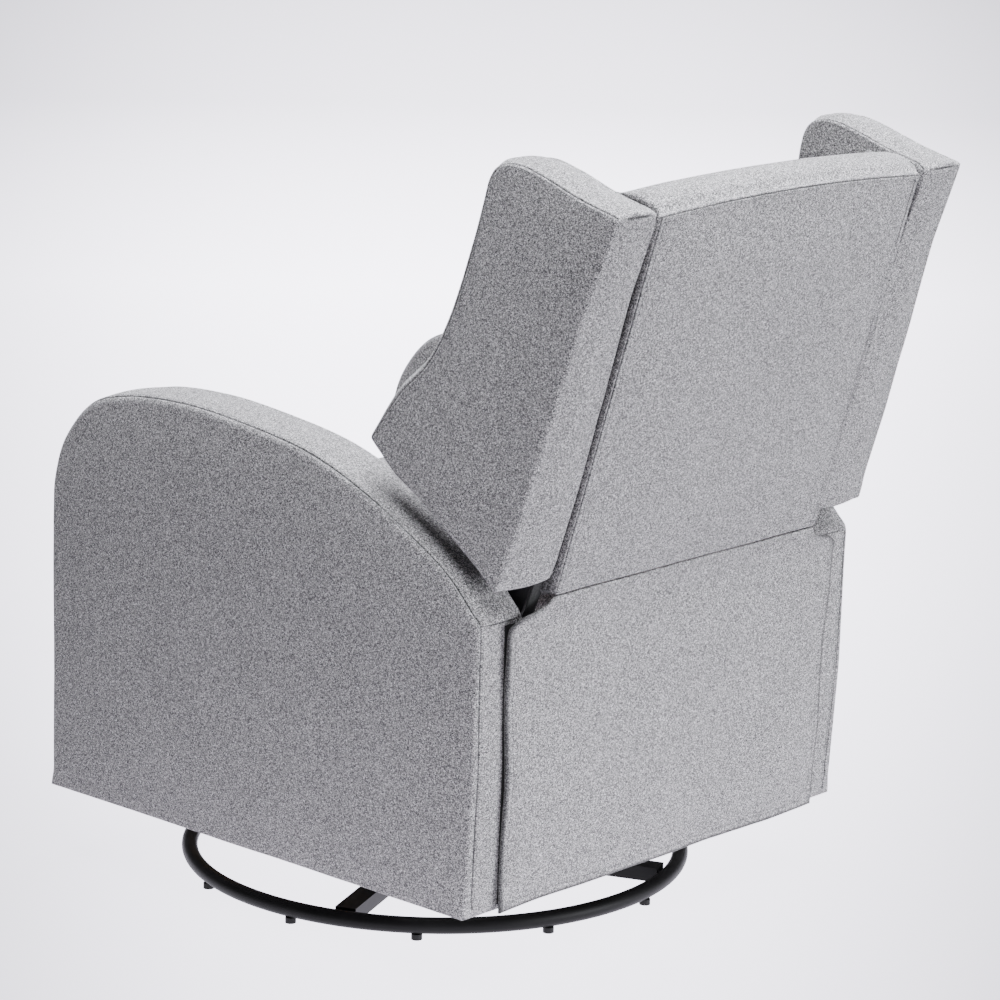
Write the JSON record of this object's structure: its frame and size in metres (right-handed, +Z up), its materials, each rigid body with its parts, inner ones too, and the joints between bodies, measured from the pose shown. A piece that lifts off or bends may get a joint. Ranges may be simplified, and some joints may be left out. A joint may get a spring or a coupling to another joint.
{
  "type": "glider nursery chair",
  "caption": "Upholstered wingback nursery chair that glides, swivels and reclines on a round floor ring, with a fold-out footrest.",
  "frame": {"origin": "on the floor, under the middle of the chair's outer box", "axes": "+Z up, +X towards the sitter's left, the sitter faces -Y"},
  "size_m": [0.7518, 0.976, 1.0478],
  "materials": {
    "linen_fabric": "matte heathered weave",
    "black_steel": "satin powder coat",
    "mechanism_steel": "semi-matte e-coat",
    "zinc_steel": "zinc plated",
    "spring_steel": "oiled spring wire",
    "plywood": "unfinished plywood",
    "rubber": "matte",
    "black_plastic": "fine texture"
  },
  "bodies": {
    "floor_base": {"base_ring": "black_steel", "base_crossbar_a": "black_steel", "base_crossbar_b": "black_steel", "ring_foot_01": "rubber", "ring_foot_02": "rubber", "ring_foot_03": "rubber", "ring_foot_04": "rubber", "ring_foot_05": "rubber", "ring_foot_06": "rubber", "ring_foot_07": "rubber", "ring_foot_08": "rubber", "ring_foot_09": "rubber", "ring_foot_10": "rubber", "ring_foot_11": "rubber", "ring_foot_12": "rubber", "swivel_lower_plate": "zinc_steel", "swivel_kingpin": "zinc_steel"},
    "ball_cage": {"swivel_ball_cage": "black_plastic"},
    "swivel_carriage": {"swivel_upper_plate": "zinc_steel", "glide_cradle": "mechanism_steel", "glide_axle_front": "zinc_steel", "glide_axle_rear": "zinc_steel"},
    "glide_links_front": {"glide_link_front_left": "mechanism_steel", "glide_link_front_right": "mechanism_steel"},
    "glide_links_rear": {"glide_link_rear_left": "mechanism_steel", "glide_link_rear_right": "mechanism_steel"},
    "chassis": {"side_plate_left": "mechanism_steel", "side_plate_right": "mechanism_steel", "hanger_axle_front": "zinc_steel", "hanger_axle_rear": "zinc_steel", "front_crossmember": "mechanism_steel", "rear_crossmember": "mechanism_steel", "arm_frame_left": "plywood", "arm_frame_right": "plywood", "arm_pad_left": "linen_fabric", "arm_pad_right": "linen_fabric", "back_flap": "linen_fabric", "release_bezel": "black_plastic", "release_cable": "black_plastic"},
    "release_paddle": {"release_lever": "black_plastic"},
    "seat": {"seat_frame": "plywood", "seat_spring_deck": "spring_steel", "seat_cushion": "linen_fabric"},
    "backrest": {"backrest_frame": "plywood", "back_bracket_left": "mechanism_steel", "back_bracket_right": "mechanism_steel", "back_cushion": "linen_fabric", "outside_back_panel": "linen_fabric", "wing_left": "linen_fabric", "wing_right": "linen_fabric"},
    "footrest_drive": {"footrest_drive_frame": "mechanism_steel"},
    "footrest_first_bars": {"footrest_first_bar_left": "mechanism_steel", "footrest_first_bar_right": "mechanism_steel"},
    "footrest_control_bars": {"footrest_control_bar_left": "mechanism_steel", "footrest_control_bar_right": "mechanism_steel"},
    "footrest_reach_bars": {"footrest_reach_bar_left": "mechanism_steel", "footrest_reach_bar_right": "mechanism_steel"},
    "footrest": {"footrest_board": "plywood", "footrest_pad": "linen_fabric"}
  },
  "joints": [
    {"name": "base_swivel", "type": "hinge", "parent": "floor_base", "child": "swivel_carriage", "pos_m": [0, -0.104, 0], "axis": [0, 0, 1], "continuous": true},
    {"name": "ball_cage_roll", "type": "hinge", "parent": "floor_base", "child": "ball_cage", "pos_m": [0, -0.104, 0], "axis": [0, 0, 1], "continuous": true},
    {"name": "glide", "type": "hinge", "parent": "swivel_carriage", "child": "glide_links_front", "pos_m": [0, -0.199, 0.205], "axis": [1, 0, 0], "range_deg": [-20, 20]},
    {"name": "glide_level", "type": "hinge", "parent": "glide_links_front", "child": "chassis", "pos_m": [0, -0.199, 0.085], "axis": [1, 0, 0], "range_deg": [-20, 20]},
    {"name": "glide_rear", "type": "hinge", "parent": "swivel_carriage", "child": "glide_links_rear", "pos_m": [0, -0.009, 0.205], "axis": [1, 0, 0], "range_deg": [-20, 20]},
    {"name": "recline", "type": "hinge", "parent": "chassis", "child": "backrest", "pos_m": [0, 0.236, 0.4], "axis": [-1, 0, 0], "range_deg": [0, 35], "deforming": ["back_flap"]},
    {"name": "seat_advance", "type": "slide", "parent": "chassis", "child": "seat", "axis": [0, -1, 0], "range_m": [0, 0.045]},
    {"name": "footrest_extend", "type": "hinge", "parent": "seat", "child": "footrest_drive", "pos_m": [0, -0.36, 0.345], "axis": [-1, 0, 0], "range_deg": [0, 55]},
    {"name": "footrest_first_cross", "type": "hinge", "parent": "footrest_drive", "child": "footrest_first_bars", "pos_m": [0, -0.37997, 0.23175], "axis": [1, 0, 0], "range_deg": [0, 110]},
    {"name": "footrest_low_knee", "type": "hinge", "parent": "footrest_drive", "child": "footrest_reach_bars", "pos_m": [0, -0.39994, 0.11849], "axis": [1, 0, 0], "range_deg": [0, 110]},
    {"name": "footrest_second_cross", "type": "hinge", "parent": "footrest_reach_bars", "child": "footrest_control_bars", "pos_m": [0, -0.41991, 0.23175], "axis": [-1, 0, 0], "range_deg": [0, 110]},
    {"name": "footrest_turn", "type": "hinge", "parent": "footrest_reach_bars", "child": "footrest", "pos_m": [0, -0.43988, 0.345], "axis": [-1, 0, 0], "range_deg": [0, 145]},
    {"name": "release_pull", "type": "hinge", "parent": "chassis", "child": "release_paddle", "pos_m": [-0.366, -0.15, 0.479], "axis": [0, 1, 0], "range_deg": [0, 35], "stiffness_Nm_per_rad": 0.6}
  ],
  "couplings": [
    {"joint": "ball_cage_roll", "follows": "base_swivel", "ratio": 0.5},
    {"joint": "glide_level", "follows": "glide", "ratio": -1},
    {"joint": "glide_rear", "follows": "glide", "ratio": 1},
    {"joint": "seat_advance", "follows": "recline", "m_per_rad": 0.0736},
    {"joint": "footrest_first_cross", "follows": "footrest_extend", "ratio": 2},
    {"joint": "footrest_low_knee", "follows": "footrest_extend", "ratio": 2},
    {"joint": "footrest_second_cross", "follows": "footrest_extend", "ratio": 2},
    {"joint": "footrest_turn", "follows": "footrest_extend", "ratio": 2.636}
  ]
}
